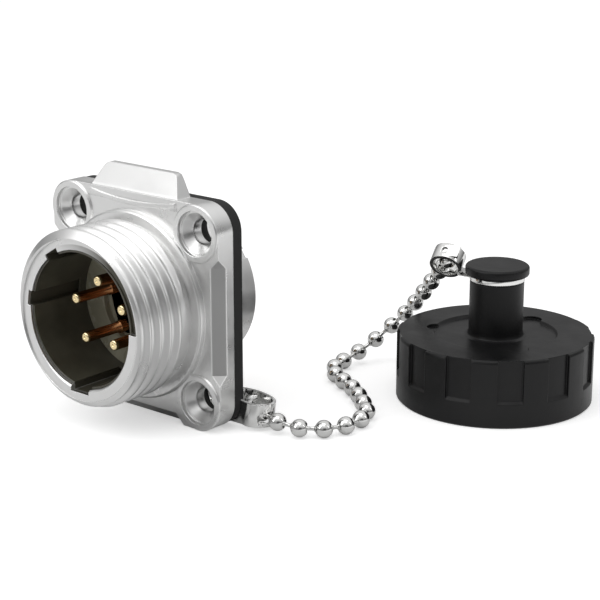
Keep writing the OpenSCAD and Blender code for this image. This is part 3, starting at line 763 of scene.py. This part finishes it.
cap_low, cap_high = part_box("cap_body")
cap_axis = (cap_low + cap_high) / 2
bore_r = 10.6 * mm
bore_depth = 6.8 * mm


def in_the_bore(spot):
    """Whether a spot of the cap lies in its threaded bore."""
    from_axis = math.hypot(spot.x - cap_axis.x, spot.y - cap_axis.y)
    return from_axis < bore_r and spot.z < cap_low.z + bore_depth


cap_nylon = moulded("cap_nylon", (0.003, 0.003, 0.0033), (0.006, 0.006, 0.0063), rough=0.38,
                    grain_scale=1200.0, grain_depth=0.012 * mm, edge_radius=0.16 * mm, pale_edges=0.4,
                    specular=0.28)
cap = joined_copy("cap_body", "cap_shell")
soften(cap, 0.12 * mm, sharp=20.0, keep=in_the_bore)
place_piece(cap, "cap", "cap_nylon", cap_nylon, "cap_body")
head = joined_copy("cap_head", "knob_head")
soften(head, 0.1 * mm)
place_piece(head, "cap", "cap_nylon", cap_nylon, "cap_head")
washer_rubber = moulded("washer_rubber", (0.015, 0.015, 0.015), (0.03, 0.03, 0.03), rough=0.75,
                        grain_scale=2500.0, grain_depth=0.01 * mm, edge_radius=0.1 * mm)
dress("cap_seal", washer_rubber)


# ---- Table, light and camera -------------------------------------------------------------
# A white table without a horizon, a large soft light overhead, one at the left and a weak
# fill at the right. In the metal, the room is darker low down and in front, as behind a card.

low, high = (Vector(corner) for corner in cad_box)
centre = (low + high) / 2
ground = bpy.data.meshes.new("table")
half = 1.5
corners = ((-half, -half), (half, -half), (half, half), (-half, half))
ground.from_pydata([(x, y, low.z) for x, y in corners], [], [(0, 1, 2, 3)])
table = new_object("table", ground)



def way_from(azimuth, elevation):
    """The way from the object to a place round it, from angles in degrees."""
    turn, rise = math.radians(azimuth), math.radians(elevation)
    return Vector((math.sin(turn) * math.cos(rise), -math.cos(turn) * math.cos(rise), math.sin(rise)))


def behind_card(tree, way):
    """How far a way from the object lies in the sector that is darker in the metal's reflections, as behind
    a card.
    """
    card_azimuth = 48
    level = add(tree, "ShaderNodeVectorMath", {0: way, 1: (1, 1, 0)}, operation="MULTIPLY").outputs[0]
    level = add(tree, "ShaderNodeVectorMath", {0: level}, operation="NORMALIZE").outputs[0]
    return ramp(tree, along_way(tree, level, way_from(card_azimuth, 0)), 0.9, 0.99, soft=True)


finish, tree, shader, place = new_finish("table_white")
tree.nodes.remove(shader)
seen = add(tree, "ShaderNodeLightPath").outputs
# Painted reflection: for reflections only, the table is painted darker on the side of a card that is not
# there. To the camera it stays evenly white.
painted_card_side = behind_card(tree, place)
mirrored = blend_colours(tree, painted_card_side, (0.82, 0.82, 0.82, 1), (0.5, 0.5, 0.5, 1))
paint = blend_colours(tree, seen["Is Glossy Ray"], (0.9, 0.9, 0.9, 1), mirrored)
beyond_chain = ramp(tree, parts(tree, place)[0], 26 * mm, 34 * mm)
beyond_chain = product(tree, beyond_chain, calc(tree, "SUBTRACT", 1.0, painted_card_side))
matt = add(tree, "ShaderNodeBsdfDiffuse", {"Color": paint}).outputs[0]
# Painted reflection: beyond the chain the table glows for reflections only. The camera's glow keeps the
# table evenly white.
lift = product(tree, seen["Is Glossy Ray"], beyond_chain, 0.3)
lift = calc(tree, "MULTIPLY_ADD", seen["Is Camera Ray"], 0.44, lift)
glow = add(tree, "ShaderNodeEmission", {"Color": (1, 1, 1, 1), "Strength": lift}).outputs[0]
both = add(tree, "ShaderNodeAddShader", {0: matt, 1: glow}).outputs[0]
tree.links.new(both, tree.nodes["Material Output"].inputs["Surface"])
ground.materials.append(finish)

world = bpy.data.worlds.new("studio")
scene.world = world
world.use_nodes = True
tree = world.node_tree
seen = add(tree, "ShaderNodeLightPath").outputs
direction = add(tree, "ShaderNodeTexCoord").outputs["Generated"]
height = parts(tree, direction)[2]
room = ramp(tree, height, 0.05, 0.7, 0.16, 0.88)
card = product(tree, behind_card(tree, direction), ramp(tree, height, 0.6, 0.35))
room = product(tree, room, calc(tree, "MULTIPLY_ADD", card, -0.75, 1.0))
direct = calc(tree, "ADD", seen["Is Glossy Ray"], seen["Is Transmission Ray"], clamp=True)
level = add(tree, "ShaderNodeMix", {0: direct, 2: 0.62, 3: room}, data_type="FLOAT").outputs[0]
level = add(tree, "ShaderNodeMix", {0: seen["Is Camera Ray"], 2: level, 3: 1.0},
            data_type="FLOAT").outputs[0]
tree.links.new(level, tree.nodes["Background"].inputs["Strength"])
tree.nodes["Background"].inputs["Color"].default_value = (1, 1, 1, 1)


def soft_light(name, azimuth, elevation, distance, size, watts):
    """A square light turned to the middle of the object."""
    lamp = bpy.data.lights.new(name, "AREA")
    lamp.shape = "RECTANGLE"
    lamp.size, lamp.size_y = size
    lamp.energy = watts
    back = way_from(azimuth, elevation)
    holder = new_object(name, lamp)
    holder.location = centre + distance * back
    holder.rotation_euler = back.to_track_quat("Z", "Y").to_euler()


soft_light("overhead", 20, 75, 0.35, (0.26, 0.26), 0.22)
soft_light("left_key", -30, 32, 0.35, (0.24, 0.26), 0.3)
soft_light("right_fill", 110, 30, 0.4, (0.06, 0.2), 0.05)

camera = bpy.data.cameras.new("camera")
camera.sensor_width = 36.0
camera.lens = 102.7
holder = new_object("camera", camera)
holder.location = (0.13103, -0.13232, 0.0538)
holder.rotation_euler = way_from(39.82, 16.3).to_track_quat("Z", "Y").to_euler()
scene.camera = holder
scene.view_settings.view_transform = "Standard"
